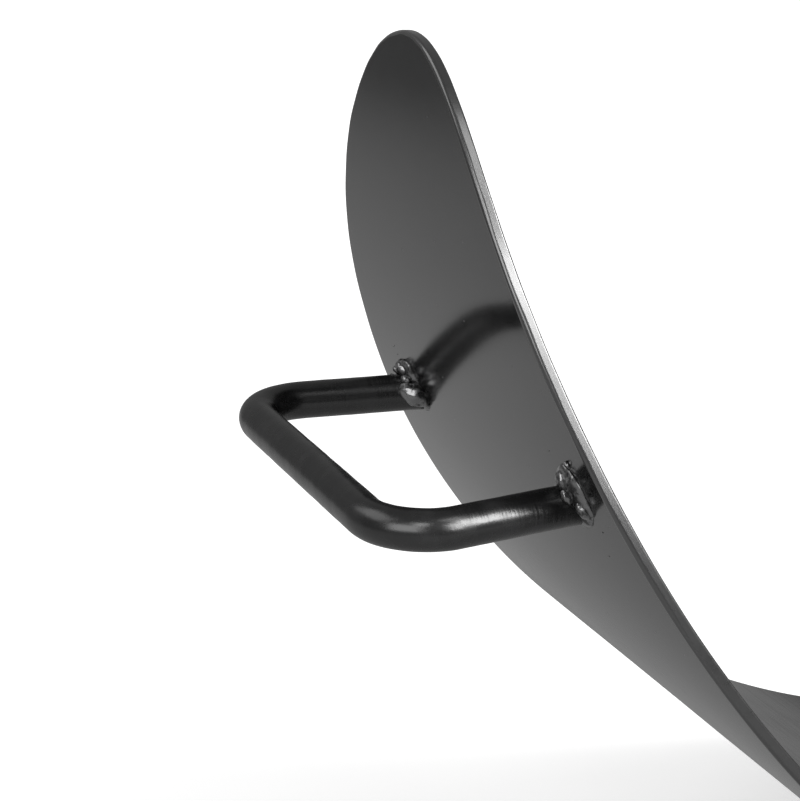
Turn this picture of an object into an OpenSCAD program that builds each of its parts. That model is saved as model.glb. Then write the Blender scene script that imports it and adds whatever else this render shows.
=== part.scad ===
// Log holder: an oval steel sheet rolled into a cradle, with a welded rod handle on each end wall.
// Frame: +Z up, Y along the logs, X from handle to handle, origin on the floor under the middle.

/* [Cradle sheet] */
// Thickness of the steel sheet
sheet_t = 3; // [2:0.5:5]
// Width of the sheet at its middle, along the logs
sheet_w = 220; // [180:5:320]
// Outer radius of the long arc that forms the bottom
low_r = 285; // [250:5:340]
// Outer radius of the tighter arc near each tip
high_r = 190; // [150:5:230]
// Where the tighter arc starts, in degrees below the level of that arc's centre
high_start = 17.5; // [12:0.5:22]
// How far each tip curls in past the vertical, in degrees
tip_curl = 3; // [0:0.5:12]

/* [Handles] */
// Diameter of the round rod
rod_d = 10; // [8:1:14]
// Distance between the two leg centres at the sheet
handle_w = 96; // [80:2:120]
// Distance from the sheet to the middle of the crossbar
handle_reach = 48; // [40:1:70]
// How far each leg flares outwards, in degrees
handle_flare = 7.5; // [0:0.5:12]
// Bend radius of the rod at its centre line
handle_bend = 15; // [12:1:20]
// Where the handle sits on the wall, in degrees below the level of the bottom arc's centre
handle_at = 25.5; // [24:0.5:34]

/* [Feet] */
// Width of the flat bar
foot_w = 25; // [16:1:40]
// Thickness of the flat bar
foot_t = 4; // [3:0.5:8]
// Length of the bar that lies on the floor
foot_flat = 180; // [120:5:230]
// Distance between the middles of the two feet
foot_spacing = 130; // [90:2:150]
// Angle of the bar's raised ends, in degrees
foot_rise = 60; // [50:1:75]
// Inside radius of the bar's bends
foot_bend = 6; // [4:1:12]

/* [Weld beads] */
// Radius of the bead round a handle leg
ring_bead_r = 3.2; // [2:0.2:4.5]
// Radius of the bead along a foot's end
line_bead_r = 3; // [2:0.2:4.5]
// Bare end of the foot's edge that the bead leaves at each side
line_bead_inset = 2; // [1:0.5:5]

/* [Hidden] */

LEFT = -1;
RIGHT = 1;
FRONT = -1;
REAR = 1;
// Joint line between two welded pieces
seam = 0.2;
// How far each straight of the rod runs into the next bend, so that the rod is one piece
lap = 0.3;
// How much the rod's diameter draws in where it is bent
bend_thinning = 0.1;
// Steps along the sheet from tip to tip
sheet_steps = 160;
// Flats in each bend of a foot's bar
bend_steps = 12;
// Smoothness of the rod and of the large arcs
rod_fn = 64;
arc_fn = 360;

sheet_colour = [0.16, 0.16, 0.165];
rod_colour = [0.11, 0.11, 0.115];
bead_colour = [0.05, 0.05, 0.05];

// The sheet's lowest point rests on the feet
sheet_z = foot_t + seam;
low_centre_z = sheet_z + low_r;
// Both arcs share one tangent where they meet, so the high centre lies on the line to that point
high_centre_x = (low_r - high_r) * cos(high_start);
high_centre_z = low_centre_z - (low_r - high_r) * sin(high_start);

// Arc lengths from the middle of the bottom, measured on the outer face
low_len = low_r * (90 - high_start) * PI / 180;
half_len = low_len + high_r * (high_start + tip_curl) * PI / 180;

// Angle of the outward normal at arc length s, from straight down
function lean(s) = s <= low_len
    ? s / low_r * 180 / PI
    : 90 - high_start + (s - low_len) / high_r * 180 / PI;

// Point at a depth below the outer face, for an outward normal that leans by a, as [x, z]
function wall_point(a, depth) = a <= 90 - high_start
    ? [(low_r - depth) * sin(a), low_centre_z - (low_r - depth) * cos(a)]
    : [high_centre_x + (high_r - depth) * sin(a), high_centre_z - (high_r - depth) * cos(a)];

// Station at arc length s of either sign: outer and inner corners on both long edges.
// The flat blank is an ellipse, so its half width follows from s.
function station(s, half_w) =
    let (
        side = s < 0 ? -1 : 1,
        outer = wall_point(lean(abs(s)), 0),
        inner = wall_point(lean(abs(s)), sheet_t)
    )
    [
        [side * outer[0], -half_w, outer[1]],
        [side * outer[0], half_w, outer[1]],
        [side * inner[0], half_w, inner[1]],
        [side * inner[0], -half_w, inner[1]]
    ];

module cradle_sheet() {
    inner_stations = [
        for (i = [1 : sheet_steps - 1])
        let (u = 180 * i / sheet_steps - 90)
        each station(half_len * sin(u), sheet_w / 2 * cos(u))
    ];
    tip_a = station(-half_len, 0);
    tip_b = station(half_len, 0);
    count = sheet_steps - 1;
    last = 4 * (count - 1);
    // Each tip is one short edge: its outer and its inner end
    points = concat(inner_stations, [tip_a[0], tip_a[3], tip_b[0], tip_b[3]]);
    tip_a_outer = 4 * count;
    tip_a_inner = tip_a_outer + 1;
    tip_b_outer = tip_a_outer + 2;
    tip_b_inner = tip_a_outer + 3;
    walls = [
        for (i = [0 : count - 2], k = [0 : 3])
        let (
            p = 4 * i + k,
            q = 4 * i + (k + 1) % 4
        )
        each [[p, p + 4, q + 4], [p, q + 4, q]]
    ];
    ends = [
        [tip_a_outer, 0, 1],
        [tip_a_inner, 2, 3],
        [tip_a_outer, 1, 2], [tip_a_outer, 2, tip_a_inner],
        [tip_a_inner, 3, 0], [tip_a_inner, 0, tip_a_outer],
        [tip_b_outer, last + 1, last],
        [tip_b_inner, last + 3, last + 2],
        [tip_b_outer, last + 2, last + 1], [tip_b_outer, tip_b_inner, last + 2],
        [tip_b_inner, last, last + 3], [tip_b_inner, tip_b_outer, last]
    ];
    color(sheet_colour) polyhedron(points, concat(walls, ends));
}

// Everything inside the sheet's outer face, seen from the front, grown by a clearance
module cradle_outline(clearance) {
    far = 2 * low_r;
    translate([0, low_centre_z]) intersection() {
        circle(r = low_r + clearance, $fn = arc_fn);
        polygon([
            [0, 0],
            [-far * cos(high_start), -far * sin(high_start)],
            [0, -far],
            [far * cos(high_start), -far * sin(high_start)]
        ]);
    }
    for (side = [LEFT, RIGHT])
        translate([side * high_centre_x, high_centre_z])
            circle(r = high_r + clearance, $fn = arc_fn);
}

// Turns a front view into a solid of width w along Y
module along_logs(w) {
    rotate([90, 0, 0]) linear_extrude(height = w, center = true) children();
}

// Mirrors a right-hand piece to the side that is named
module on_side(side) {
    if (side == LEFT) mirror([1, 0, 0]) children();
    else children();
}

// Mirrors a rear piece to the end that is named
module at_end(end) {
    if (end == FRONT) mirror([0, 1, 0]) children();
    else children();
}

// The space that the sheet and everything in it takes up
module cradle_bulk() {
    along_logs(sheet_w) cradle_outline(seam);
}

// Where the handle's legs meet the wall
handle_foot = wall_point(90 - handle_at, 0);
// The corner between a leg and the crossbar, before it is bent round
corner_x = handle_foot[0] + handle_reach;
corner_y = handle_w / 2 + handle_reach * tan(handle_flare);
// Length that the bend takes off each straight, from the corner
bend_take = handle_bend * tan((90 + handle_flare) / 2);
bend_start = [corner_x - bend_take * cos(handle_flare), corner_y - bend_take * sin(handle_flare)];
bend_centre = bend_start + handle_bend * [sin(handle_flare), -cos(handle_flare)];
// The leg is cut from rod that starts inside the wall
leg_extra = rod_d;
leg_len = handle_reach / cos(handle_flare) - bend_take + leg_extra;

// The leg behind the sheet's middle plane, on the right-hand side. It starts where the bend ends.
module handle_leg(clearance) {
    translate([bend_centre[0], bend_centre[1], handle_foot[1]])
        rotate([0, 0, 90 + handle_flare]) translate([handle_bend, -lap, 0]) rotate([-90, 0, 0])
        cylinder(d = rod_d + 2 * clearance, h = leg_len, $fn = rod_fn);
}

module handle_bend_arc() {
    translate([bend_centre[0], bend_centre[1], handle_foot[1]])
        rotate_extrude(angle = 90 + handle_flare, $fn = rod_fn)
        translate([handle_bend, 0]) circle(d = rod_d - bend_thinning, $fn = rod_fn);
}

// The rod as bent, with its legs trimmed to the curve of the wall
module handle(side) {
    bar_len = 2 * bend_centre[1] + 2 * lap;
    color(rod_colour) on_side(side) difference() {
        union() {
            for (end = [FRONT, REAR]) at_end(end) {
                handle_leg(0);
                handle_bend_arc();
            }
            translate([corner_x, 0, handle_foot[1]]) rotate([90, 0, 0])
                cylinder(d = rod_d, h = bar_len, center = true, $fn = rod_fn);
        }
        cradle_bulk();
    }
}

// The bead that runs round a leg, where the rod meets the wall
module handle_weld(side, end) {
    color(bead_colour) on_side(side) at_end(end) difference() {
        translate([handle_foot[0], handle_w / 2, handle_foot[1]])
            rotate([0, 90 + handle_at, 0])
            rotate_extrude($fn = rod_fn)
            translate([rod_d / 2 + ring_bead_r / 3, 0])
            circle(r = ring_bead_r, $fn = rod_fn);
        cradle_bulk();
        handle_leg(seam / 2);
    }
}

// Bar that is left over for the trim of a foot's raised end
foot_leg_len = low_r / 4;

// Outwards-going face of the bar from the bend on, at distance r from the bend's centre, as [x, z]
function foot_face_points(r) =
    let (
        bend = [
            for (i = [0 : bend_steps])
            let (a = foot_rise * i / bend_steps)
            [foot_flat / 2 + r * sin(a), foot_t + foot_bend - r * cos(a)]
        ]
    )
    concat(bend, [bend[bend_steps] + foot_leg_len * [cos(foot_rise), sin(foot_rise)]]);

// The bent bar seen from the front, before its ends are trimmed, grown below by a clearance
module foot_blank_outline(clearance) {
    below = foot_face_points(foot_bend + foot_t + clearance);
    above = foot_face_points(foot_bend);
    last = len(below) - 1;
    polygon(concat(
        [for (i = [0 : last]) below[i]],
        [for (i = [last : -1 : 0]) above[i]],
        [for (i = [0 : last]) [-above[i][0], above[i][1]]],
        [for (i = [last : -1 : 0]) [-below[i][0], below[i][1]]]
    ));
}

// A foot seen from the front, with its raised ends trimmed to the curve of the sheet
module foot_outline() {
    difference() {
        foot_blank_outline(0);
        cradle_outline(seam / 2);
    }
}

module foot(end) {
    color(sheet_colour) translate([0, end * foot_spacing / 2, 0]) along_logs(foot_w) foot_outline();
}

// Where the outer face of a foot's raised end meets the sheet, as [x, z].
// A point on that face is start + d * (cos, sin) of the rise; d solves the circle's equation.
foot_face = [
    foot_flat / 2 + (foot_bend + foot_t) * sin(foot_rise),
    foot_t + foot_bend - (foot_bend + foot_t) * cos(foot_rise)
];
foot_dir = [cos(foot_rise), sin(foot_rise)];
from_centre = foot_face - [0, low_centre_z];
along = from_centre * foot_dir;
foot_meet_d = -along - sqrt(along * along - from_centre * from_centre + low_r * low_r);
foot_meet = foot_face + foot_meet_d * foot_dir;

// The bead that runs along a foot's end, in the corner under the sheet
module foot_weld(end, side) {
    bead_len = foot_w - 2 * line_bead_inset - 2 * line_bead_r;
    color(bead_colour) on_side(side) translate([0, end * foot_spacing / 2, 0]) difference() {
        translate([foot_meet[0], 0, foot_meet[1]]) {
            rotate([90, 0, 0])
                cylinder(r = line_bead_r, h = bead_len, center = true, $fn = rod_fn);
            for (y = [-bead_len / 2, bead_len / 2])
                translate([0, y, 0]) sphere(r = line_bead_r, $fn = rod_fn);
        }
        cradle_bulk();
        along_logs(2 * foot_w) foot_blank_outline(seam / 2);
    }
}

cradle_sheet();
handle(LEFT);  // handle_left
handle(RIGHT);  // handle_right
handle_weld(LEFT, FRONT);  // handle_weld_left_front
handle_weld(LEFT, REAR);  // handle_weld_left_rear
handle_weld(RIGHT, FRONT);  // handle_weld_right_front
handle_weld(RIGHT, REAR);  // handle_weld_right_rear
foot(FRONT);  // foot_front
foot(REAR);  // foot_rear
foot_weld(FRONT, LEFT);  // foot_weld_front_left
foot_weld(FRONT, RIGHT);  // foot_weld_front_right
foot_weld(REAR, LEFT);  // foot_weld_rear_left
foot_weld(REAR, RIGHT);  // foot_weld_rear_right
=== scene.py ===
"""Log holder: an oval steel sheet rolled into a cradle, two rod handles, weld beads and two feet.

Every length is in metres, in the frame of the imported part: Z up, Y along the axis of the roll, X
from the left handle to the right one, origin on the floor under the middle of the cradle.
"""

import math

import bpy
import numpy as np
from bpy.props import FloatProperty, FloatVectorProperty, IntProperty, PointerProperty
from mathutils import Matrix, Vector


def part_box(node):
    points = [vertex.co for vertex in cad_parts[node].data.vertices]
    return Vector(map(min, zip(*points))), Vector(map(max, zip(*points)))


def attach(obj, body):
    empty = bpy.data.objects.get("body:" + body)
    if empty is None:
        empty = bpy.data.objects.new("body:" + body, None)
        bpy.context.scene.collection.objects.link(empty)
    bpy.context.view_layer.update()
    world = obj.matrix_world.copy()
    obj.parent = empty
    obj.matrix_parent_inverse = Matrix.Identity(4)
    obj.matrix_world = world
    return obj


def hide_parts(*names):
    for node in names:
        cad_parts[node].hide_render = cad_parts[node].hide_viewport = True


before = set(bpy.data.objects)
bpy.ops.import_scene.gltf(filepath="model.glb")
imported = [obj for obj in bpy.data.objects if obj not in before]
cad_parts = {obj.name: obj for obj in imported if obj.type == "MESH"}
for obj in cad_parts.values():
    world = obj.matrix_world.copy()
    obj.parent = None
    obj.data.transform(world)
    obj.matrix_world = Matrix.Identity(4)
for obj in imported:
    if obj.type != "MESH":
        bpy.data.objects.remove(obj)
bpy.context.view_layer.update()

bl_info = {
    "name": "Log holder",
    "version": (1, 0, 0),
    "blender": (4, 5, 0),
    "location": "View3D > Sidebar > Log holder",
    "description": "Makes a rolled steel log holder with rod handles, weld beads and feet",
    "category": "Add Mesh",
}

MM = 0.001
# Gap between a welded piece and the sheet, which stands in for the fused seam
SEAM = 0.1 * MM
LEFT, RIGHT = -1, 1
FRONT, REAR = -1, 1
SIDE_NAMES = {LEFT: "left", RIGHT: "right"}
END_NAMES = {FRONT: "front", REAR: "rear"}

SHEET_LOW, SHEET_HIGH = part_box("cradle_sheet")
ROD_LOW, ROD_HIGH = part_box("handle_right")
FOOT_LOW, FOOT_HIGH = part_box("foot_front")
REAR_FOOT_LOW, REAR_FOOT_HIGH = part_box("foot_rear")


# Sizes that a user would change


class LogHolderSheet(bpy.types.PropertyGroup):
    thickness: FloatProperty(
        name="Thickness", description="Thickness of the steel sheet",
        default=3 * MM, unit="LENGTH", precision=5)
    width: FloatProperty(
        name="Width", description="Width of the sheet at its middle, along the roll's axis",
        default=SHEET_HIGH.y - SHEET_LOW.y, unit="LENGTH")
    base: FloatProperty(
        name="Clearance", description="Height of the sheet's lowest point above the floor",
        default=SHEET_LOW.z, unit="LENGTH", precision=5)
    low_radius: FloatProperty(
        name="Bottom radius", description="Outer radius of the long arc that forms the bottom",
        default=285 * MM, unit="LENGTH")
    high_radius: FloatProperty(
        name="Tip radius", description="Outer radius of the tighter arc near each tip",
        default=190 * MM, unit="LENGTH")
    high_start: FloatProperty(
        name="Tip arc start",
        description="Where the tighter arc starts, below the level of its centre",
        default=math.radians(17.5), subtype="ANGLE")
    tip_curl: FloatProperty(
        name="Tip curl", description="How far each tip curls in past the vertical",
        default=math.radians(3), subtype="ANGLE")
    outer_round: FloatProperty(
        name="Outer corner", description="Radius that the paint gives the edge's outer corner",
        default=1.0 * MM, unit="LENGTH", precision=5)
    inner_round: FloatProperty(
        name="Inner corner", description="Radius that the paint gives the edge's inner corner",
        default=0.5 * MM, unit="LENGTH", precision=5)
    unevenness: FloatProperty(
        name="Unevenness", description="How far the rolled wall strays from its arcs",
        default=0.1 * MM, unit="LENGTH", precision=5)


class LogHolderRod(bpy.types.PropertyGroup):
    diameter: FloatProperty(
        name="Diameter", description="Diameter of the round rod",
        default=ROD_HIGH.z - ROD_LOW.z, unit="LENGTH", precision=5)
    height: FloatProperty(
        name="Height", description="Height of the rod's centre line above the floor",
        default=(ROD_HIGH.z + ROD_LOW.z) / 2, unit="LENGTH")
    spread: FloatProperty(
        name="Leg spacing", description="Distance between the two leg centres at the sheet",
        default=96 * MM, unit="LENGTH")
    bar: FloatProperty(
        name="Crossbar distance", description="Distance of the crossbar's centre from the middle",
        default=ROD_HIGH.x - (ROD_HIGH.z - ROD_LOW.z) / 2, unit="LENGTH")
    flare: FloatProperty(
        name="Leg flare", description="How far each leg flares outwards",
        default=math.radians(7.5), subtype="ANGLE")
    bend: FloatProperty(
        name="Bend radius", description="Bend radius of the rod at its centre line",
        default=15 * MM, unit="LENGTH")
    ground: FloatProperty(
        name="Ground length", description="Length of each end that was ground clean",
        default=32 * MM, unit="LENGTH")
    flattening: FloatProperty(
        name="Bend flattening", description="Share of its diameter that the rod loses across a bend",
        default=0.02, min=0, max=0.1)


class LogHolderFoot(bpy.types.PropertyGroup):
    width: FloatProperty(
        name="Width", description="Width of the flat bar",
        default=FOOT_HIGH.y - FOOT_LOW.y, unit="LENGTH")
    thickness: FloatProperty(
        name="Thickness", description="Thickness of the flat bar",
        default=4 * MM, unit="LENGTH", precision=5)
    flat: FloatProperty(
        name="Flat length", description="Length of the bar that lies on the floor",
        default=180 * MM, unit="LENGTH")
    spacing: FloatProperty(
        name="Spacing", description="Distance between the middles of the two feet",
        default=(REAR_FOOT_LOW.y + REAR_FOOT_HIGH.y - FOOT_LOW.y - FOOT_HIGH.y) / 2, unit="LENGTH")
    rise: FloatProperty(
        name="Rise", description="Angle of the bar's raised ends",
        default=math.radians(60), subtype="ANGLE")
    bend: FloatProperty(
        name="Bend radius", description="Inside radius of the bar's bends",
        default=6 * MM, unit="LENGTH", precision=5)
    edge_round: FloatProperty(
        name="Edge radius", description="Radius of the bar's long edges",
        default=0.8 * MM, unit="LENGTH", precision=5)


class LogHolderBead(bpy.types.PropertyGroup):
    ring: FloatProperty(
        name="Ring bead", description="Width of a bead round a leg, on the leg and on the wall",
        default=2.6 * MM, unit="LENGTH", precision=5)
    line: FloatProperty(
        name="Line bead", description="Radius of the bead along a foot's end",
        default=2.6 * MM, unit="LENGTH", precision=5)
    inset: FloatProperty(
        name="Bare end", description="Bare length that the bead leaves at each side of the foot",
        default=2 * MM, unit="LENGTH", precision=5)
    drops: IntProperty(
        name="Drops", description="Number of ripples in a ring bead",
        default=9, min=4, max=20)
    spatter: IntProperty(
        name="Spatter", description="Number of balls of spatter round a ring bead",
        default=3, min=0, max=40)
    seed: IntProperty(name="Seed", description="Seed of the beads' shapes", default=5)


class LogHolderPaint(bpy.types.PropertyGroup):
    sheet: FloatVectorProperty(
        name="Sheet", description="Colour of the paint on the sheet and the feet",
        default=(0.0088, 0.0088, 0.009), size=3, min=0, max=1, subtype="COLOR")
    rod: FloatVectorProperty(
        name="Rod", description="Colour of the paint on the handles",
        default=(0.0075, 0.0075, 0.0077), size=3, min=0, max=1, subtype="COLOR")
    bead: FloatVectorProperty(
        name="Bead crust", description="Colour of the beads' dull crust",
        default=(0.008, 0.008, 0.0082), size=3, min=0, max=1, subtype="COLOR")
    skin: FloatVectorProperty(
        name="Bead skin", description="Colour of the beads' glossy burnt skin",
        default=(0.23, 0.23, 0.232), size=3, min=0, max=1, subtype="COLOR")
    worn: FloatVectorProperty(
        name="Worn edge", description="Colour where the paint is thin over an edge",
        default=(0.007, 0.007, 0.0071), size=3, min=0, max=1, subtype="COLOR")


class LogHolderStage(bpy.types.PropertyGroup):
    floor: FloatVectorProperty(
        name="Floor", description="Colour of the floor",
        default=(0.65, 0.65, 0.65), size=3, min=0, max=1, subtype="COLOR")
    ambient: FloatProperty(
        name="Room light", description="Strength of the light from all round",
        default=0.25, min=0)
    lens: FloatProperty(
        name="Lens", description="Focal length of the camera in millimetres, for a 36 mm sensor",
        default=99.35)
    eye: FloatVectorProperty(
        name="Camera place", description="Place of the camera",
        default=(-0.4742, -0.4789, 0.3408), size=3, subtype="TRANSLATION")
    heading: FloatProperty(
        name="Camera heading", description="How far the camera turns from +Y towards +X",
        default=math.radians(21.92), subtype="ANGLE")
    tilt: FloatProperty(
        name="Camera tilt", description="How far the camera looks down",
        default=math.radians(17.25), subtype="ANGLE")


class LogHolderSizes(bpy.types.PropertyGroup):
    sheet: PointerProperty(name="Sheet", description="Sizes of the sheet", type=LogHolderSheet)
    rod: PointerProperty(name="Rod", description="Sizes of the handles' rod", type=LogHolderRod)
    foot: PointerProperty(name="Feet", description="Sizes of the feet", type=LogHolderFoot)
    bead: PointerProperty(name="Beads", description="Sizes of the weld beads", type=LogHolderBead)
    paint: PointerProperty(name="Paint", description="Colours of the paint", type=LogHolderPaint)
    stage: PointerProperty(name="Stage", description="Floor, light and camera", type=LogHolderStage)


# The cradle's wall


class Wall:
    """The cradle's wall, as a strip of arc length s that is bent round Y.

    A long arc forms the bottom. From the angle high_start below the level of its own centre a
    tighter arc goes on to each tip, and both arcs share one tangent where they meet.
    """

    def __init__(self, sheet):
        self.thickness = sheet.thickness
        self.half_width = sheet.width / 2
        self.low_r = sheet.low_radius
        self.high_r = sheet.high_radius
        self.turn = math.pi / 2 - sheet.high_start
        self.low_z = sheet.base + self.low_r
        self.high_x = (self.low_r - self.high_r) * math.cos(sheet.high_start)
        self.high_z = self.low_z - (self.low_r - self.high_r) * math.sin(sheet.high_start)
        self.low_len = self.low_r * self.turn
        self.half_len = self.low_len + self.high_r * (sheet.high_start + sheet.tip_curl)

    def lean(self, s):
        """Angle of the outward normal from straight down: arc length over the arc's radius."""
        s = np.abs(s)
        high = self.turn + (s - self.low_len) / self.high_r
        return np.where(s <= self.low_len, s / self.low_r, high)

    def point(self, s, y, depth):
        """Point at arc length s and place y, a depth below the outer face: the arc's centre plus
        (radius - depth) along the outward normal."""
        lean = self.lean(s)
        low = np.abs(s) <= self.low_len
        radius = np.where(low, self.low_r, self.high_r) - depth
        x = np.where(low, 0, self.high_x) + radius * np.sin(lean)
        z = np.where(low, self.low_z, self.high_z) - radius * np.cos(lean)
        return np.stack(np.broadcast_arrays(np.sign(s) * x, y, z), axis=-1)

    def reach(self, start, direction, gap):
        """Distance along a direction from each start to the bottom arc's outer face plus a gap:
        the root of |start + t * direction - centre| = radius + gap that lies nearest to zero."""
        from_centre = start[..., [0, 2]] - np.array([0, self.low_z])
        along = direction[..., [0, 2]]
        a = (along * along).sum(-1)
        b = (from_centre * along).sum(-1)
        c = (from_centre * from_centre).sum(-1) - (self.low_r + gap) ** 2
        root = np.sqrt(b * b - a * c)
        return np.where(b < 0, (-b - root) / a, (-b + root) / a)


# Meshes


def full_turn(count):
    """Angles of a number of even steps round a full turn, from 0."""
    return np.linspace(0, math.tau, count, endpoint=False)


def ripple(coords, waves):
    """Sum of plain sine waves, each (height, cycles per unit along each coordinate, phase)."""
    total = 0
    for height, cycles, phase in waves:
        turns = sum(c * k for c, k in zip(coords, cycles))
        total = total + height * np.sin(math.tau * turns + phase)
    return total


def lofted(rows, start=None, end=None, loop=False):
    """Vertices and faces of rows of points, each row closed on itself.

    A start or an end point closes the surface with a fan, and loop joins the last row to the first.
    """
    count, around = rows.shape[:2]
    points = rows.reshape(-1, 3)
    index = np.arange(len(points)).reshape(count, around)
    after = np.roll(index, -1, axis=1)
    corners = (index, after, np.roll(after, -1, axis=0), np.roll(index, -1, axis=0))
    used = count if loop else count - 1
    faces = np.stack([corner[:used] for corner in corners], axis=-1).reshape(-1, 4).tolist()
    for tip, pair in ((start, (after[0], index[0])), (end, (index[-1], after[-1]))):
        if tip is not None:
            faces += np.stack([*pair, np.full(around, len(points))], axis=-1).tolist()
            points = np.vstack([points, tip])
    return points, faces


def outward(points, faces):
    """The faces, all turned round if the volume that they enclose comes out negative."""
    middle = points.mean(axis=0)
    a, b, c, d = (points[[f[k] for f in faces]] - middle for k in (0, 1, 2, -1))
    volume = (a * np.cross(b, c)).sum() + (a * np.cross(c, d)).sum()
    return faces if volume > 0 else [f[::-1] for f in faces]


def joined(parts):
    """One list of points and one of faces for several closed surfaces."""
    points, faces, offset = [], [], 0
    for part_points, part_faces in parts:
        points.append(part_points)
        faces += [[k + offset for k in f] for f in outward(part_points, part_faces)]
        offset += len(part_points)
    return np.vstack(points), faces


def add_object(name, data):
    """A new object in the scene."""
    obj = bpy.data.objects.new(name, data)
    bpy.context.scene.collection.objects.link(obj)
    return obj


def make_piece(name, surface, material, node):
    """A smooth mesh object that stands for a CAD node and rides on the part. The surface is points
    and faces, and may add values for the points by attribute name."""
    points, faces, values = (*surface, {})[:3]
    mesh = bpy.data.meshes.new(name)
    mesh.from_pydata(points.tolist(), [], outward(points, faces))
    mesh.polygons.foreach_set("use_smooth", np.ones(len(mesh.polygons), bool))
    for key, data in values.items():
        kind, field = ("FLOAT", "value") if data.ndim == 1 else ("FLOAT_VECTOR", "vector")
        attribute = mesh.attributes.new(key, kind, "POINT")
        attribute.data.foreach_set(field, data.astype(np.float32).ravel())
    mesh.materials.append(material)
    mesh.update()
    if mesh.validate():
        raise RuntimeError(f"the mesh of {name} had faces that Blender had to mend")
    piece = add_object(name, mesh)
    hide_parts(node)
    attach(piece, "root")


# Materials

# Places of the colour sockets among a Mix node's inputs and outputs
COLOUR_A, COLOUR_B, COLOUR_RESULT = 6, 7, 2


class Value:
    """A socket's number in a paint. Arithmetic on values adds the Math nodes."""

    def __init__(self, paint, socket):
        self.paint = paint
        self.socket = socket

    def math(self, operation, *operands):
        return self.paint.node("ShaderNodeMath", {"operation": operation}, dict(enumerate(operands)))

    def __add__(self, other):
        return self.math("ADD", self, other)

    def __radd__(self, other):
        return self.math("ADD", other, self)

    def __sub__(self, other):
        return self.math("SUBTRACT", self, other)

    def __rsub__(self, other):
        return self.math("SUBTRACT", other, self)

    def __mul__(self, other):
        return self.math("MULTIPLY", self, other)

    def __rmul__(self, other):
        return self.math("MULTIPLY", other, self)

    def above(self, low, high):
        """0 at low and below, 1 at high and above, smooth between."""
        return self.paint.node(
            "ShaderNodeMapRange", {"interpolation_type": "SMOOTHSTEP"},
            {"Value": self, "From Min": low, "From Max": high})


class Paint:
    """The node tree of a new material or world, filled by one method."""

    def __init__(self, name, kind="materials"):
        self.owner = getattr(bpy.data, kind).new(name)
        self.owner.use_nodes = True
        self.tree = self.owner.node_tree
        self.tree.nodes.clear()
        self.place = self.node("ShaderNodeTexCoord", {}, {}, "Object")

    def node(self, kind, settings, inputs, output=0):
        """Adds a node, sets its settings, then its inputs' values or links; returns one output, or
        None for a node that has none."""
        node = self.tree.nodes.new(kind)
        for key, value in settings.items():
            setattr(node, key, value)
        for key, value in inputs.items():
            if isinstance(value, Value):
                self.tree.links.new(value.socket, node.inputs[key])
            else:
                node.inputs[key].default_value = value
        return Value(self, node.outputs[output]) if node.outputs else None

    def noise(
            self, size, detail=2.0, roughness=0.5, stretch=(1, 1, 1), offset=(0, 0, 0), place=None):
        """Noise whose blobs are about a size across, 0 to 1."""
        place = self.node("ShaderNodeMapping", {}, {
            "Vector": place or self.place, "Location": offset, "Scale": stretch})
        return self.node("ShaderNodeTexNoise", {}, {
            "Vector": place, "Scale": 1 / size, "Detail": detail, "Roughness": roughness})

    def specks(self, size, radius, offset=(0, 0, 0)):
        """Sparse round specks, 1 at the middle and 0 past a radius given as a share of a cell."""
        core = 0.4 * radius
        place = self.node("ShaderNodeMapping", {}, {"Vector": self.place, "Location": offset})
        distance = self.node(
            "ShaderNodeTexVoronoi", {}, {"Vector": place, "Scale": 1 / size}, "Distance")
        return 1 - distance.above(core, radius)

    def attribute(self, name, output="Fac"):
        return self.node("ShaderNodeAttribute", {"attribute_name": name}, {}, output)

    def mix(self, factor, first, second):
        """Colour mix: the first at factor 0, the second at factor 1."""
        first, second = (c if isinstance(c, Value) else (*c, 1) for c in (first, second))
        return self.node(
            "ShaderNodeMix", {"data_type": "RGBA"}, {0: factor, COLOUR_A: first, COLOUR_B: second},
            COLOUR_RESULT)

    def finish(self, colour, roughness, height, bump, **others):
        """A Principled surface, with a bump whose height is in units of a real distance."""
        normal = self.node("ShaderNodeBump", {}, {"Height": height, "Distance": bump}, "Normal")
        surface = self.node("ShaderNodeBsdfPrincipled", {}, {
            "Base Color": colour, "Roughness": roughness, "Normal": normal,
            **{key.replace("_", " "): value for key, value in others.items()}})
        self.node("ShaderNodeOutputMaterial", {}, {"Surface": surface})
        return self.owner


def shade(colour, factor):
    """A colour made lighter or darker by a factor."""
    return tuple(c * factor for c in colour)


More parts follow.
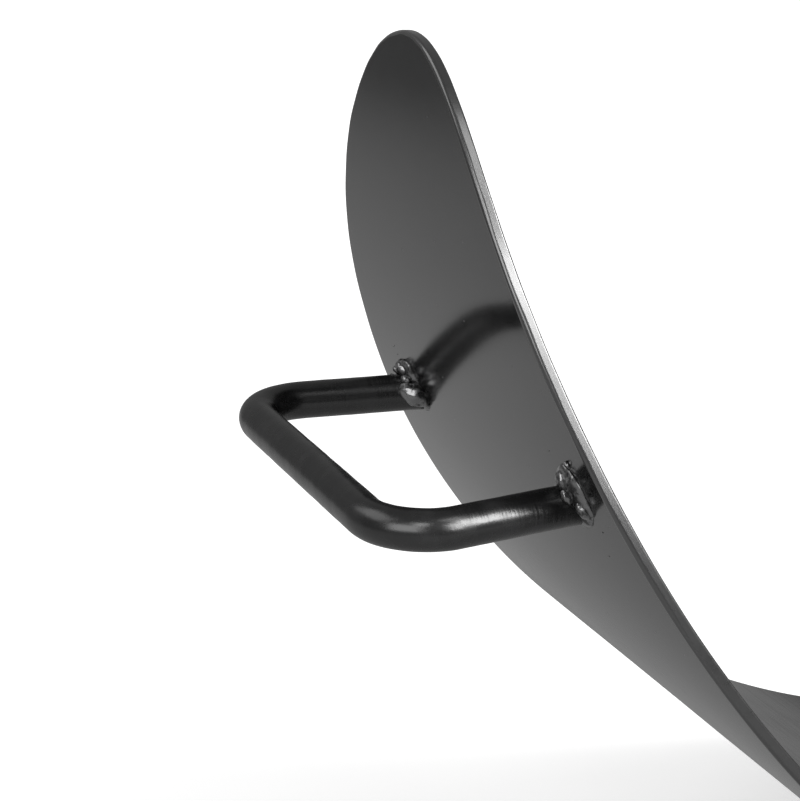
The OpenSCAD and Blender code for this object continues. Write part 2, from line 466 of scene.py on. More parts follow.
def sheet_enamel(looks):
    """Smooth satin enamel on rolled sheet: cloudy, with a fine orange peel, dust and thin edges. The
    inner face is a little duller, and finely scuffed along Y."""
    paint = Paint("sheet_enamel")
    clouds = paint.noise(42 * MM, detail=3.0, roughness=0.6)
    mottle = paint.noise(5 * MM, detail=4.0, roughness=0.6, offset=(3, 1, 2))
    grain = paint.noise(0.7 * MM, offset=(5, 2, 1))
    peel = paint.noise(1.6 * MM, detail=1.0, offset=(1, 7, 3))
    dust = paint.specks(7 * MM, 0.06)
    edge = paint.attribute("edge")
    chips = paint.noise(2.4 * MM, detail=3.0, roughness=0.7)
    worn = (edge * (chips * 0.8 + 0.35)).above(0.35, 0.85)
    tone = (clouds * 0.5 + mottle * 0.5).above(0.3, 0.7)
    colour = paint.mix(tone, shade(looks.sheet, 0.82), shade(looks.sheet, 1.2))
    colour = paint.mix(dust * 0.5, colour, shade(looks.sheet, 4.0))
    colour = paint.mix(worn, colour, looks.worn)
    inside = paint.attribute("inside")
    scuffs = paint.noise(
        1.2 * MM, detail=3.0, roughness=0.7, stretch=(1, 0.03, 1), offset=(2, 6, 4))
    rubbed = (scuffs * 0.6 + clouds * 0.4).above(0.45, 0.62) * inside
    roughness = (0.1 + clouds * 0.04 + mottle * 0.03 + grain * 0.02 + dust * 0.2 + worn * 0.22
                 + inside * 0.04 + rubbed * 0.05)
    height = peel * 0.4 + grain * 0.1 + dust * 1.2 + mottle * 0.3 - rubbed * 0.3
    return paint.finish(colour, roughness, height, 0.01 * MM, Coat_Weight=edge * 0.95,
                        Coat_Roughness=0.22, Coat_IOR=1.85)


def rod_enamel(looks):
    """Satin enamel on drawn rod: drawing lines along it, dull patches, sunk pits darkened with
    painted shade, and fine ridges round it where the ends were ground before welding."""
    paint = Paint("rod_enamel")
    patches = paint.noise(11 * MM, detail=4.0, roughness=0.62)
    grain = paint.noise(0.6 * MM, offset=(2, 2, 5))
    peel = paint.noise(1.8 * MM, offset=(4, 1, 1))
    shaded_pits = paint.specks(2.6 * MM, 0.14, offset=(1, 2, 3))
    around = paint.attribute("round", "Vector")
    lines = paint.noise(0.4, detail=3.0, stretch=(1, 1, 0.02), place=around)
    ridges = paint.noise(1.0, stretch=(0.8, 0.8, 9), place=around)
    ground = paint.attribute("ground")
    dull = patches.above(0.42, 0.68)
    colour = paint.mix(dull, shade(looks.rod, 0.8), shade(looks.rod, 1.45))
    # Painted shade: the sunk pits are painted darker than the paint round them
    colour = paint.mix(shaded_pits * 0.5, colour, shade(looks.rod, 0.3))
    roughness = 0.2 + dull * 0.08 + grain * 0.05 + lines * 0.05
    height = peel * 0.6 + grain * 0.3 + lines * 0.5 - shaded_pits * 0.8 + ridges * ground * 3.5
    return paint.finish(colour, roughness, height, 0.02 * MM, Specular_IOR_Level=0.72)


def bead_enamel(looks):
    """Weld bead with a burnt glossy skin that mirrors like dark metal, and dull crust in patches."""
    paint = Paint("bead_enamel")
    scale = paint.noise(2.4 * MM, detail=1.5)
    grain = paint.noise(0.45 * MM, offset=(3, 3, 3))
    holes = paint.specks(1.6 * MM, 0.12, offset=(2, 5, 1))
    crust = (scale + grain * 0.25).above(0.6, 0.8)
    colour = paint.mix(crust, looks.skin, looks.bead)
    roughness = 0.25 + crust * 0.2 + grain * 0.06
    height = scale + grain * 0.15 - holes * 0.4
    return paint.finish(colour, roughness, height, 0.024 * MM, Metallic=1 - crust * 0.9)


def enamel(name, looks):
    """The enamel of that name, made on first use."""
    makers = {"sheet_enamel": sheet_enamel, "rod_enamel": rod_enamel, "bead_enamel": bead_enamel}
    return bpy.data.materials.get(name) or makers[name](looks)


# The cradle

ROUND_TURNS, FACE_ROWS, CORNER_ROWS = 768, 56, 7
# Waves of the wall's unevenness, and of the corners' radii round the rim with their share of each
WALL_WAVES = ((0.5, (7.1, 3.3), 0.4), (0.3, (13.7, -6.1), 2.2), (0.2, (4.9, 11.3), 5.1))
RIM_WAVES = ((0.5, (31,), 0.3), (0.3, (53,), 1.9), (0.3, (97,), 4.0))
OUTER_SWELL, INNER_SWELL = 0.18, 0.15
# Distance of the close rows that keep the shading flat beside a rounded corner
EDGE_LOOP = 0.12 * MM


def cradle_surface(wall, sheet):
    """The rolled sheet as one closed surface, and which points lie on the cut edge and inside.

    The flat blank is an ellipse E(phi) = (half_len cos phi, half_width sin phi). Each row is a copy
    of the ellipse: rho * (E - corner * N) on the faces, and E - inset * N at a depth round the edge,
    where N is the ellipse's normal and (inset, depth) follows the edge's rounded profile.
    """
    phi = full_turn(ROUND_TURNS)
    ellipse = np.stack([wall.half_len * np.cos(phi), wall.half_width * np.sin(phi)], -1)
    normal = np.stack([wall.half_width * np.cos(phi), wall.half_len * np.sin(phi)], -1)
    normal /= np.linalg.norm(normal, axis=-1, keepdims=True)
    swell = ripple((phi / math.tau,), RIM_WAVES)
    outer = sheet.outer_round * (1 + OUTER_SWELL * swell)
    inner = sheet.inner_round * (1 - INNER_SWELL * swell)
    quarter = np.linspace(0, math.pi / 2, CORNER_ROWS)[:, None]
    thickness = wall.thickness
    falling, rising = 1 - np.sin(quarter), 1 - np.cos(quarter)
    outer_inset, outer_depth = outer * falling, outer * rising
    inner_inset, inner_depth = inner * rising, thickness - inner * falling
    flat_depth = np.stack([outer_depth[-1] + EDGE_LOOP, inner_depth[0] - EDGE_LOOP])
    inset = np.vstack([outer_inset[:1] + EDGE_LOOP, outer_inset, np.zeros_like(flat_depth),
                       inner_inset, inner_inset[-1:] + EDGE_LOOP])[..., None]
    depth = np.vstack([np.zeros((FACE_ROWS, ROUND_TURNS)), outer_depth, flat_depth, inner_depth,
                       np.full((FACE_ROWS, ROUND_TURNS), thickness)])
    rim = ellipse - inset * normal
    rho = (np.arange(1, FACE_ROWS) / FACE_ROWS)[:, None, None]
    blank = np.concatenate([rho * rim[0], rim, rho[::-1] * rim[-1]])
    s, y = blank[..., 0], blank[..., 1]
    sag = sheet.unevenness * (1 + ripple((s, y), WALL_WAVES)) * (1 - (s / wall.half_len) ** 2)
    rows = wall.point(s, y, depth + sag)
    start = wall.point(np.array(0.0), 0.0, sheet.unevenness)
    end = wall.point(np.array(0.0), 0.0, thickness + sheet.unevenness)
    points, faces = lofted(rows, start, end)
    face_points, cut_points = FACE_ROWS * ROUND_TURNS, (2 * CORNER_ROWS + 2) * ROUND_TURNS
    counts = [face_points, cut_points, face_points, 1, 1]
    edge, inside = np.repeat([0, 1, 0, 0, 0], counts), np.repeat([0, 0, 1, 0, 1], counts)
    return points, faces, {"edge": edge, "inside": inside}


class LOGHOLDER_OT_cradle(bpy.types.Operator):
    """Make the rolled oval sheet"""

    bl_idname = "log_holder.cradle"
    bl_label = "Cradle"

    def execute(self, context):
        sizes = context.scene.log_holder
        surface = cradle_surface(Wall(sizes.sheet), sizes.sheet)
        make_piece("cradle", surface, enamel("sheet_enamel", sizes.paint),
                   "cradle_sheet")
        return {"FINISHED"}


# The handles

ROD_TURNS = 72
LEG_ROWS, BEND_ROWS, BAR_ROWS = 60, 48, 50
# Rows at each side of a bend's end over which its flattening fades
FADE_ROWS = 6
# Waves of the rod's radius along it and round it, and their share of the radius
ROD_WAVES = ((0.5, (11, 1), 0.2), (0.3, (23, 2), 1.4), (0.2, (41, 3), 3.3))
ROD_UNEVENNESS = 0.006
# Distance from the rod's end, in ground lengths, at which the grinding has faded out
GROUND_FADED = 1.3


def rod_path(rod, wall):
    """Centre line of a right-hand handle from the rear leg's root to the front leg's, the direction
    across it, and how far each point is in a bend: a leg, an arc, the bar, an arc and a leg."""
    radius = rod.bend
    turn = math.pi / 2 + rod.flare
    lean = math.asin((wall.low_z - rod.height) / wall.low_r)
    reach = rod.bar - wall.low_r * math.cos(lean)
    corner = np.array([rod.bar, rod.spread / 2 + reach * math.tan(rod.flare)])
    take = radius * math.tan(turn / 2)
    leg_dir = np.array([math.cos(rod.flare), math.sin(rod.flare)])
    leg_end = corner - take * leg_dir
    leg_start = leg_end - (reach / math.cos(rod.flare) - take) * leg_dir
    centre = leg_end + radius * np.array([math.sin(rod.flare), -math.cos(rod.flare)])
    leg = leg_start + np.linspace(0, 1, LEG_ROWS)[:, None] * (leg_end - leg_start)
    angle = np.linspace(turn, 0, BEND_ROWS)[:, None]
    arc = centre + radius * np.hstack([np.cos(angle), np.sin(angle)])
    bar = np.linspace(arc[-1], arc[-1] * [1, 0], BAR_ROWS)
    half = np.vstack([leg, arc[1:], bar[1:]])
    angles = np.concatenate([np.full(LEG_ROWS, turn), angle[1:, 0], np.zeros(BAR_ROWS - 1)])
    across = np.stack([np.cos(angles), np.sin(angles)], -1)
    bent = np.repeat([0.0, 1.0, 0.0], [LEG_ROWS, BEND_ROWS - 1, BAR_ROWS - 1])
    window = 2 * FADE_ROWS + 1
    bent = np.convolve(np.pad(bent, FADE_ROWS, "edge"), np.full(window, 1 / window), "valid")
    path, sideways = (np.vstack([part, part[-2::-1] * [1, -1]]) for part in (half, across))
    return path, sideways, np.concatenate([bent, bent[-2::-1]])


def handle_surface(rod, wall, side):
    """A round section carried along the rod's centre line, flattened in the bends, its two end
    rings pushed along the legs to the wall: centre + r (cos t * sideways + sin t * up).

    Each point also gets its place on the section and along the rod, counted in radii, and how
    thoroughly the rod was ground there for welding.
    """
    path, sideways, bent = rod_path(rod, wall)
    t = full_turn(ROD_TURNS)
    r = rod.diameter / 2
    steps = np.linalg.norm(np.diff(path, axis=0), axis=-1)
    walked = np.concatenate([[0], np.cumsum(steps)])[:, None]
    along = walked / walked[-1]
    uneven = 1 - ROD_UNEVENNESS * (1 + ripple((along, t / math.tau), ROD_WAVES))
    flat = 1 - rod.flattening * bent[:, None]
    across = r * uneven * flat * np.cos(t)
    upward = r * uneven * np.sin(t)
    rows = np.empty((len(path), ROD_TURNS, 3))
    rows[..., :2] = path[:, None] + across[..., None] * sideways[:, None]
    rows[..., 2] = rod.height + upward
    leg = np.array([math.cos(rod.flare), math.sin(rod.flare), 0])
    for row, end in ((0, REAR), (-1, FRONT)):
        direction = leg * [1, end, 0]
        rows[row] += wall.reach(rows[row], direction, SEAM)[:, None] * direction
    rows *= [side, 1, 1]
    points, faces = lofted(rows, rows[0].mean(0), rows[-1].mean(0))
    around = np.stack(np.broadcast_arrays(np.cos(t), np.sin(t), walked / r), -1).reshape(-1, 3)
    to_end = np.minimum(walked, walked[-1] - walked) * np.ones_like(t)
    ground = np.clip(GROUND_FADED - to_end / rod.ground, 0, 1)
    caps = around[[0, -1]] * [0, 0, 1]
    return points, faces, {"round": np.vstack([around, caps]), "ground": np.append(ground, [1, 1])}


class LOGHOLDER_OT_handles(bpy.types.Operator):
    """Make the two handles of bent round rod"""

    bl_idname = "log_holder.handles"
    bl_label = "Handles"

    def execute(self, context):
        sizes = context.scene.log_holder
        wall = Wall(sizes.sheet)
        for side, name in SIDE_NAMES.items():
            make_piece(f"rod_{name}", handle_surface(sizes.rod, wall, side),
                       enamel("rod_enamel", sizes.paint), f"handle_{name}")
        return {"FINISHED"}


# The weld beads

# A bead's outline is rows of angle round the leg from +Y in degrees, width on the wall and width on
# the leg; its blobs are rows of angle, distance from the leg's middle, distance out along the leg,
# radius and how long it is up the wall. Lengths are in millimetres.
FAR_OUTLINE = (
    (0, 2.0, 2.0), (45, 3.5, 2.4), (66, 4.2, 2.4), (90, 4.8, 2.0), (114, 5.4, 1.8), (128, 3.2, 2.4),
    (143, 1.4, 1.5), (170, 1.2, 1.2), (200, 1.1, 1.3), (240, 0.7, 1.2), (300, 1.0, 1.2),
)
FAR_BLOBS = (
    (170, 5.5, 2.6, 3.8, 1.0), (95, 7.2, 0.9, 2.1, 1.1), (66, 6.7, 1.9, 1.3, 1.0),
    (128, 6.6, 2.4, 1.5, 1.0), (90, 5.7, 4.6, 0.5, 1.0), (200, 5.4, 0.8, 1.4, 1.2),
)
NEAR_OUTLINE = (
    (0, 1.5, 2.0), (45, 1.3, 1.8), (60, 1.4, 1.6), (76, 3.0, 1.5), (92, 5.0, 1.6), (106, 8.0, 1.8),
    (118, 8.8, 2.2), (130, 7.6, 2.6), (145, 6.8, 2.5), (165, 5.8, 1.9), (184, 4.0, 1.5),
    (202, 2.2, 1.4), (225, 1.5, 1.6), (270, 0.8, 1.2), (315, 1.2, 1.5),
)
NEAR_BLOBS = (
    (109, 7.6, 0.9, 2.2, 1.5), (119, 11.0, 0.1, 1.2, 1.2), (117.5, 15.4, 0.1, 0.9, 1.0),
    (136, 5.7, 2.7, 1.3, 1.6), (172, 7.6, 1.0, 1.8, 1.3),
)
# Width of the window that smooths an outline, in degrees
SMOOTHING = 30
# A bead that is not in view: degrees between its outline's rows, number of blobs, and ranges of both
# widths as shares of the ring's and of a blob's row
CHANCE_STEP, CHANCE_BLOBS = 36, 5
CHANCE_WIDTHS = ((0.8, 1.7), (0.8, 1.2))
CHANCE_BLOB = ((0, 360), (5.6, 7.4), (0.4, 2.4), (1.2, 2.3), (0.9, 1.4))
# Ranges of spatter's angle, distance past the bead and radius, and how far out its middle sits
SPATTER, SPATTER_OUT = ((0, 360), (2.5, 9), (0.12, 0.2)), 0.02
PHASES = (0, 6)
RING_STEPS, SECTION_STEPS = 240, 64
BLOB_TURNS, BLOB_ROWS = 36, 21


def outline_at(a, outline):
    """Widths on the wall and on the leg at the angles a: straight between the outline's rows, then
    smoothed with a raised cosine."""
    angle, on_wall, on_leg = np.array(outline).T
    window = np.hanning(len(a) * SMOOTHING // 360 + 2)[1:-1]
    window /= window.sum()
    half = len(window) // 2
    smoothed = []
    for width in (on_wall, on_leg):
        raw = np.interp(np.degrees(a), angle, width, period=360)
        wrapped = np.concatenate([raw[-half:], raw, raw[:len(window) - 1 - half]])
        smoothed.append(np.convolve(wrapped, window, "valid") * MM)
    return smoothed


def random_bead(rng, width):
    """Outline and blobs of a bead that is not in view, with seeded differences."""
    wander = CHANCE_STEP / 4
    angles = np.arange(0, 360, CHANCE_STEP) + rng.uniform(-wander, wander, 360 // CHANCE_STEP)
    width = width / MM
    outline = [(a % 360, *(width * rng.uniform(*span) for span in CHANCE_WIDTHS)) for a in angles]
    blobs = [[rng.uniform(*span) for span in CHANCE_BLOB] for _ in range(CHANCE_BLOBS)]
    return sorted(outline), blobs


class LegRoot:
    """Where a handle's leg meets the wall, and places measured from there."""

    def __init__(self, rod, wall, side, end):
        self.wall, self.side = wall, side
        self.lean = math.acos((wall.low_z - rod.height) / wall.low_r)
        self.y = end * rod.spread / 2
        self.leg = np.array([side * math.cos(rod.flare), end * math.sin(rod.flare), 0])
        r = rod.diameter / 2
        self.half_y, self.half_up = r / math.cos(rod.flare), r / math.sin(self.lean)

    def place(self, across, up, out):
        """Point a distance along Y and up the wall from the leg's middle, then out along the leg."""
        s = self.side * (self.lean * self.wall.low_r + up)
        return self.wall.point(s, self.y + across, 0.0) + np.asarray(out)[..., None] * self.leg


def ring_bead_surface(root, bead, outline, phase):
    """The bead in the corner between a leg and the wall, as a section carried round the ellipse in
    which they meet.

    The section is w cos^k b along the wall and h sin^k b along the leg, where k is the fullness, w
    and h come from the outline, and a shallow part lies inside the metal. Ripples vary w and h.
    """
    a = full_turn(RING_STEPS)
    on_wall, on_leg = (width[:, None] for width in outline_at(a, outline))
    a = a[:, None]
    b = full_turn(SECTION_STEPS)
    normal_y, normal_up = np.cos(a) * root.half_up, np.sin(a) * root.half_y
    length = np.hypot(normal_y, normal_up)
    swell = 1 + ripple((a / math.tau, b / math.tau), (
        (0.05, (bead.drops, 1), phase), (0.02, (2 * bead.drops + 1, -2), 2 * phase),
        (0.006, (29, 3), 3 * phase)))
    inside = 0.3 * bead.ring
    fullness = 1.2
    cos_b, sin_b = np.cos(b), np.sin(b)
    wide = np.where(cos_b > 0, on_wall * swell * np.abs(cos_b) ** fullness, inside * cos_b)
    high = np.where(sin_b > 0, on_leg * swell * np.abs(sin_b) ** fullness, inside * sin_b)
    across = root.half_y * np.cos(a) + wide * normal_y / length
    up = root.half_up * np.sin(a) + wide * normal_up / length
    return lofted(root.place(across, up, high), loop=True)


def blob(root, angle, distance, out, radius, length, phase):
    """A lumpy drop on a bead: middle + radius (1 + waves) times the directions of a sphere, longer
    up the wall."""
    u = full_turn(BLOB_TURNS)
    v = np.linspace(-math.pi / 2, math.pi / 2, BLOB_ROWS)[1:-1, None]
    x, y, z = np.cos(v) * np.cos(u), np.cos(v) * np.sin(u), np.sin(v) * np.ones_like(u)
    waves = ((0.045, (0.9, 0.4, 0.7), phase), (0.03, (-0.6, 1.5, 0.9), 2 * phase),
             (0.015, (2.1, -1.7, 2.6), 3 * phase))
    size = radius * MM * (1 + ripple((x, y, z), waves))
    angle = math.radians(angle)
    middle_y, middle_up = distance * MM * math.cos(angle), distance * MM * math.sin(angle)
    rows = root.place(middle_y + size * y, middle_up + size * z * length, out * MM + size * x)
    return lofted(rows, rows[0].mean(0), rows[-1].mean(0))


def spatter(rng, bead, rod):
    """Rows like those of a bead's blobs, for small balls at seeded places on the wall round it."""
    reach = (rod.diameter / 2 + bead.ring) / MM
    for _ in range(bead.spatter):
        angle, distance, radius = (rng.uniform(*span) for span in SPATTER)
        yield angle, reach + distance, SPATTER_OUT, radius, 1.0


class LOGHOLDER_OT_handle_beads(bpy.types.Operator):
    """Make the lumpy weld beads round the handles' legs"""

    bl_idname = "log_holder.handle_beads"
    bl_label = "Handle beads"

    def execute(self, context):
        sizes = context.scene.log_holder
        wall = Wall(sizes.sheet)
        rng = np.random.default_rng(sizes.bead.seed)
        shaped = {(LEFT, REAR): (FAR_OUTLINE, FAR_BLOBS), (LEFT, FRONT): (NEAR_OUTLINE, NEAR_BLOBS)}
        for side, side_name in SIDE_NAMES.items():
            for end, end_name in END_NAMES.items():
                root = LegRoot(sizes.rod, wall, side, end)
                by_chance = random_bead(rng, sizes.bead.ring)
                outline, blobs = shaped.get((side, end), by_chance)
                ring = ring_bead_surface(root, sizes.bead, outline, rng.uniform(*PHASES))
                drops = [*blobs, *spatter(rng, sizes.bead, sizes.rod)]
                phases = rng.uniform(*PHASES, len(drops))
                balls = [blob(root, *drop, phase) for drop, phase in zip(drops, phases)]
                make_piece(f"bead_{side_name}_{end_name}", joined([ring, *balls]),
                           enamel("bead_enamel", sizes.paint),
                           f"handle_weld_{side_name}_{end_name}")
        return {"FINISHED"}


# The feet

FLAT_ROWS, ARC_ROWS, RISE_ROWS, EDGE_STEPS = 24, 20, 10, 6
# Places of the loops across each flat of the bar, as shares of it
FLAT_LOOPS = np.array([0.06, 0.5, 0.94])[:, None]
# A line bead: rows along it, points round it, its drops, how far one strays and half its length in
# millimetres, their heights and the body between them as shares of the radius, and how blunt it ends
LINE_STEPS, LINE_TURNS, LINE_DROPS = 90, 56, 7
DROP_STRAY, DROP_HALF = 0.4, 2.6
DROP_HEIGHTS, LINE_BODY, LINE_BLUNT = (0.1, 0.3), 0.8, 6


def bar_section(width, thickness, corner):
    """A flat bar's section, as places across and up from its middle, with rounded corners and loops
    close beside them, so that the flats shade flat."""
    half = [width / 2 - corner, thickness / 2 - corner]
    centres = np.array([(1, 1), (-1, 1), (-1, -1), (1, -1)]) * half
    quarter = np.linspace(0, math.pi / 2, EDGE_STEPS)
    points = []
    for k, (centre, following) in enumerate(zip(centres, np.roll(centres, -1, axis=0))):
        angle = quarter + k * math.pi / 2
        around = corner * np.stack([np.cos(angle), np.sin(angle)], -1)
        near, far = centre + around[-1], following + around[-1]
        points += [centre + around, near + FLAT_LOOPS * (far - near)]
    return np.vstack(points)


def foot_surface(foot, wall, end):
    """The bar's section carried along its middle line: flat on the floor, an arc at each end, then
    straight up the rise until it meets the wall."""
    middle_r = foot.bend + foot.thickness / 2
    angle = np.linspace(0, foot.rise, ARC_ROWS)[1:]
    flat_x = np.linspace(0, foot.flat / 2, FLAT_ROWS)
    arc = np.stack([foot.flat / 2 + middle_r * np.sin(angle),
                    foot.thickness / 2 + middle_r * (1 - np.cos(angle))], -1)
    rise = np.array([math.cos(foot.rise), math.sin(foot.rise)])
    leg = arc[-1] + np.linspace(0, 1, RISE_ROWS)[1:, None] * rise * foot.thickness
    half = np.vstack([np.stack([flat_x, np.full(FLAT_ROWS, foot.thickness / 2)], -1), arc, leg])
    lean = np.concatenate([np.zeros(FLAT_ROWS), angle, np.full(RISE_ROWS - 1, foot.rise)])
    path = np.vstack([half[:0:-1] * [-1, 1], half])
    lean = np.concatenate([-lean[:0:-1], lean])
    section = bar_section(foot.width, foot.thickness, foot.edge_round)
    rows = np.empty((len(path), len(section), 3))
    normal = np.stack([-np.sin(lean), np.cos(lean)], -1)
    rows[..., 1] = end * foot.spacing / 2 + section[:, 0]
    rows[..., [0, 2]] = path[:, None] + section[:, 1, None] * normal[:, None]
    for row, way in ((0, -1), (-1, 1)):
        direction = np.array([way * rise[0], 0, rise[1]])
        rows[row] += wall.reach(rows[row], direction, SEAM)[:, None] * direction
    return lofted(rows, rows[0].mean(0), rows[-1].mean(0))


def line_bead_surface(foot, wall, bead, side, end, rng):
    """A lumpy rounded line in the corner between a foot's end and the sheet: a round section carried
    along Y, of radius r (body + drops) sqrt(1 - |u|^k), where u runs from -1 to 1 and k is blunt."""
    outer = foot.bend + foot.thickness
    rise = np.array([math.cos(foot.rise), 0, math.sin(foot.rise)])
    start = np.array([
        foot.flat / 2 + outer * math.sin(foot.rise), 0, outer * (1 - math.cos(foot.rise))])
    meet = start + wall.reach(start, rise, 0.0) * rise
    half = foot.width / 2 - bead.inset
    v = np.linspace(-math.pi / 2, math.pi / 2, LINE_STEPS)[1:-1, None]
    b = full_turn(LINE_TURNS)
    y = half * np.sin(v)
    stray = rng.uniform(-DROP_STRAY, DROP_STRAY, LINE_DROPS)
    centres = np.linspace(-half, half, LINE_DROPS + 2)[1:-1] + stray * MM
    heights = rng.uniform(*DROP_HEIGHTS, LINE_DROPS)
    drops = heights * np.clip(1 - ((y - centres) / (DROP_HALF * MM)) ** 2, 0, None)
    lumps = drops.max(axis=1, keepdims=True)
    taper = np.clip(1 - np.abs(np.sin(v)) ** LINE_BLUNT, 0, None) ** 0.5
    size = bead.line * taper * (LINE_BODY + lumps) * np.ones_like(b)
    rows = np.empty((*size.shape, 3))
    rows[..., 0] = side * (meet[0] + size * np.cos(b))
    rows[..., 1] = end * foot.spacing / 2 + y
    rows[..., 2] = meet[2] + size * np.sin(b)
    middle = np.array([side * meet[0], end * foot.spacing / 2, meet[2]])
    return lofted(rows, middle - [0, half, 0], middle + [0, half, 0])


class LOGHOLDER_OT_feet(bpy.types.Operator):
    """Make the two feet of bent flat bar"""

    bl_idname = "log_holder.feet"
    bl_label = "Feet"

    def execute(self, context):
        sizes = context.scene.log_holder
        wall = Wall(sizes.sheet)
        for end, name in END_NAMES.items():
            make_piece(f"bar_{name}", foot_surface(sizes.foot, wall, end),
                       enamel("sheet_enamel", sizes.paint), f"foot_{name}")
        return {"FINISHED"}


class LOGHOLDER_OT_foot_beads(bpy.types.Operator):
    """Make the weld beads along the feet's ends"""

    bl_idname = "log_holder.foot_beads"
    bl_label = "Foot beads"

    def execute(self, context):
        sizes = context.scene.log_holder
        wall = Wall(sizes.sheet)
        rng = np.random.default_rng(sizes.bead.seed + 1)
        for end, end_name in END_NAMES.items():
            for side, side_name in SIDE_NAMES.items():
                surface = line_bead_surface(sizes.foot, wall, sizes.bead, side, end, rng)
                make_piece(f"foot_bead_{end_name}_{side_name}", surface,
                           enamel("bead_enamel", sizes.paint),
                           f"foot_weld_{end_name}_{side_name}")
        return {"FINISHED"}


# The stage

# Name, compass angle from -Y towards +X and height angle in degrees, distance, width, height, and
# brightness as seen in a mirror
LAMPS = (
    ("key", 38, 33, 1.6, 0.36, 0.9, 18.0),
    ("low", 20, 26, 1.6, 0.32, 0.8, 13.0),
    ("high", 36, 60, 1.6, 0.5, 0.4, 3.0),
    ("left", -50, 23, 1.6, 1.2, 0.9, 3.2),
    ("front", -30, 46, 1.6, 0.4, 0.4, 5.5),
    ("rear", -115, 45, 1.6, 1.3, 0.8, 1.6),
)
AIM = (-0.27, 0, 0.15)
# Brightness of the surroundings: to the camera, and in the gloss for the room and for the floor
# under the object, round it and far off
WHITE = 1.0
MIRRORED_ROOM = 0.22
MIRRORED_UNDER, MIRRORED_ROUND, MIRRORED_FAR = 0.32, 0.48, 0.2
# The floor's glow to the camera near the object, then spans of distance: over the first that glow
# grows to white, and over the others the brightness in the gloss goes from under to round to far
NEAR_GLOW = 0.6
GLOW_SPAN, ROUND_SPAN, FAR_SPAN = (0.3, 1.2), (0.2, 0.5), (0.7, 1.8)
FLOOR_RINGS = (0.02, 0.5, 1.0, 2.0, 4.0, 8.0)
FLOOR_TURNS = 96


def heading(compass, height):
    """Direction at a compass angle from -Y towards +X, raised by a height angle, both in degrees."""
    compass, height = math.radians(compass), math.radians(height)
    return Vector((math.sin(compass) * math.cos(height), -math.cos(compass) * math.cos(height),
                   math.sin(height)))


def make_lamp(name, compass, height, distance, wide, high, bright):
    lamp = bpy.data.lights.new(name, "AREA")
    lamp.shape = "RECTANGLE"
    lamp.size, lamp.size_y = wide, high
    lamp.energy = bright * math.pi * wide * high
    obj = add_object(name, lamp)
    way = heading(compass, height)
    obj.location = Vector(AIM) + distance * way
    obj.rotation_euler = way.to_track_quat("Z", "Y").to_euler()
    obj.visible_camera = False


def seen_and_mirrored(paint):
    """1 for a ray straight from the camera or through glass, and 1 for a mirrored ray."""
    seen, through, mirrored = (
        paint.node("ShaderNodeLightPath", {}, {}, f"Is {kind} Ray")
        for kind in ("Camera", "Transmission", "Glossy"))
    return seen + through, mirrored


def floor_white(stage):
    """Pale floor. It also glows to the camera, so that it is plain white away from the object and
    keeps a soft shadow. In the gloss it has a brightness of its own at each distance."""
    paint = Paint("floor_white")
    distance = paint.node(
        "ShaderNodeVectorMath", {"operation": "LENGTH"}, {0: paint.place}, "Value")
    seen, mirrored = seen_and_mirrored(paint)
    glow = seen * (NEAR_GLOW + distance.above(*GLOW_SPAN) * (WHITE - NEAR_GLOW))
    shine = (distance.above(*ROUND_SPAN) * (MIRRORED_ROUND - MIRRORED_UNDER) + MIRRORED_UNDER
             - distance.above(*FAR_SPAN) * (MIRRORED_ROUND - MIRRORED_FAR))
    pale = paint.node("ShaderNodeBsdfDiffuse", {}, {"Color": (*stage.floor, 1)})
    light = paint.node("ShaderNodeEmission", {}, {"Strength": glow})
    lit = paint.node("ShaderNodeAddShader", {}, {0: pale, 1: light})
    image = paint.node("ShaderNodeEmission", {}, {"Strength": shine})
    both = paint.node("ShaderNodeMixShader", {}, {0: mirrored, 1: lit, 2: image})
    paint.node("ShaderNodeOutputMaterial", {}, {"Surface": both})
    return paint.owner


def make_floor(stage):
    """A wide flat floor, white to the camera where it is lit, so that only the shadow shows."""
    rings = np.array(FLOOR_RINGS)[:, None]
    turns = full_turn(FLOOR_TURNS)
    rows = np.stack(np.broadcast_arrays(rings * np.cos(turns), rings * np.sin(turns), 0.0), -1)
    points, faces = lofted(rows, start=np.zeros(3))
    mesh = bpy.data.meshes.new("floor")
    mesh.from_pydata(points.tolist(), [], faces)
    mesh.materials.append(floor_white(stage))
    floor = add_object("floor", mesh)


def make_world(stage):
    """Even room light, and plain white behind the floor's edge."""
    paint = Paint("studio", "worlds")
    seen, mirrored = seen_and_mirrored(paint)
    strength = (stage.ambient + seen * (WHITE - stage.ambient)
                + mirrored * (MIRRORED_ROOM - stage.ambient))
    room = paint.node("ShaderNodeBackground", {}, {"Color": (1, 1, 1, 1), "Strength": strength})
    paint.node("ShaderNodeOutputWorld", {}, {"Surface": room})
    bpy.context.scene.world = paint.owner


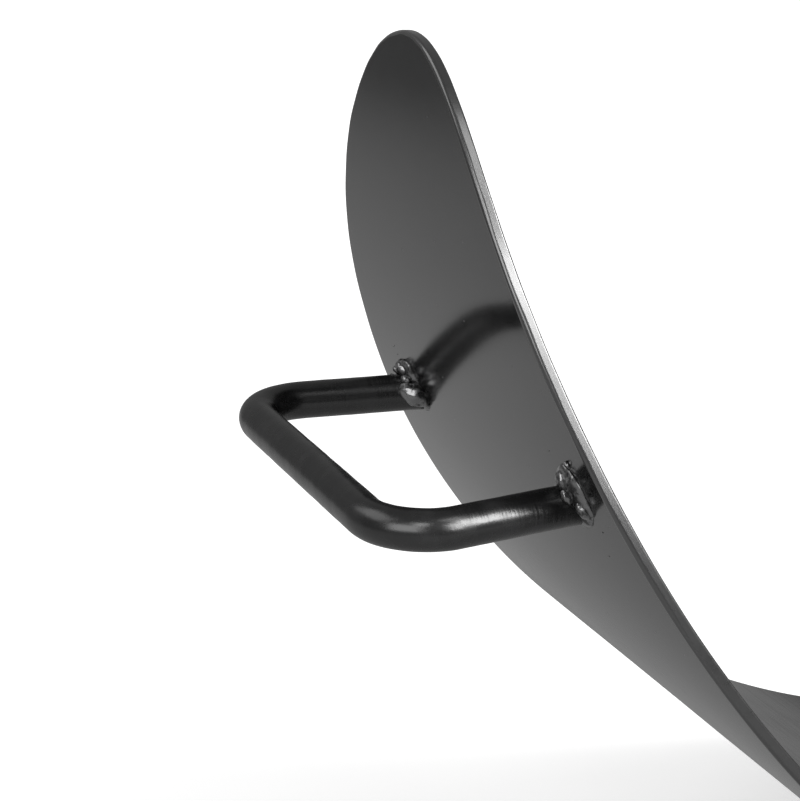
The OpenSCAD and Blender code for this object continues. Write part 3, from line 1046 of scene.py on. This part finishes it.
def make_camera(stage):
    camera = bpy.data.cameras.new("camera")
    camera.lens = stage.lens
    camera.sensor_width = 36
    camera.sensor_fit = "HORIZONTAL"
    camera.clip_start = 0.01
    obj = add_object("camera", camera)
    obj.location = stage.eye
    look = Vector((math.sin(stage.heading) * math.cos(stage.tilt),
                   math.cos(stage.heading) * math.cos(stage.tilt), -math.sin(stage.tilt)))
    obj.rotation_euler = look.to_track_quat("-Z", "Y").to_euler()
    bpy.context.scene.camera = obj


class LOGHOLDER_OT_stage(bpy.types.Operator):
    """Make the floor, the lamps and the camera"""

    bl_idname = "log_holder.stage"
    bl_label = "Stage"

    def execute(self, context):
        stage = context.scene.log_holder.stage
        make_floor(stage)
        make_world(stage)
        for lamp in LAMPS:
            make_lamp(*lamp)
        make_camera(stage)
        context.scene.view_settings.view_transform = "Standard"
        return {"FINISHED"}


OPERATORS = (
    LOGHOLDER_OT_cradle,
    LOGHOLDER_OT_handles,
    LOGHOLDER_OT_handle_beads,
    LOGHOLDER_OT_feet,
    LOGHOLDER_OT_foot_beads,
    LOGHOLDER_OT_stage,
)


class LOGHOLDER_PT_panel(bpy.types.Panel):
    bl_idname = "LOGHOLDER_PT_panel"
    bl_label = "Log holder"
    bl_space_type = "VIEW_3D"
    bl_region_type = "UI"
    bl_category = "Log holder"

    def draw(self, context):
        sizes = context.scene.log_holder
        for key in sizes.__annotations__:
            group = getattr(sizes, key)
            box = self.layout.box()
            box.label(text=key.capitalize())
            for name in group.__annotations__:
                box.prop(group, name)
        for operator in OPERATORS:
            self.layout.operator(operator.bl_idname)


CLASSES = (
    LogHolderSheet, LogHolderRod, LogHolderFoot, LogHolderBead, LogHolderPaint, LogHolderStage,
    LogHolderSizes, *OPERATORS, LOGHOLDER_PT_panel,
)


def register():
    for cls in CLASSES:
        bpy.utils.register_class(cls)
    bpy.types.Scene.log_holder = PointerProperty(type=LogHolderSizes)


def unregister():
    del bpy.types.Scene.log_holder
    for cls in reversed(CLASSES):
        bpy.utils.unregister_class(cls)


def main():
    register()
    bpy.ops.log_holder.cradle()
    bpy.ops.log_holder.handles()
    bpy.ops.log_holder.handle_beads()
    bpy.ops.log_holder.feet()
    bpy.ops.log_holder.foot_beads()
    bpy.ops.log_holder.stage()


if __name__ == "__main__":
    main()
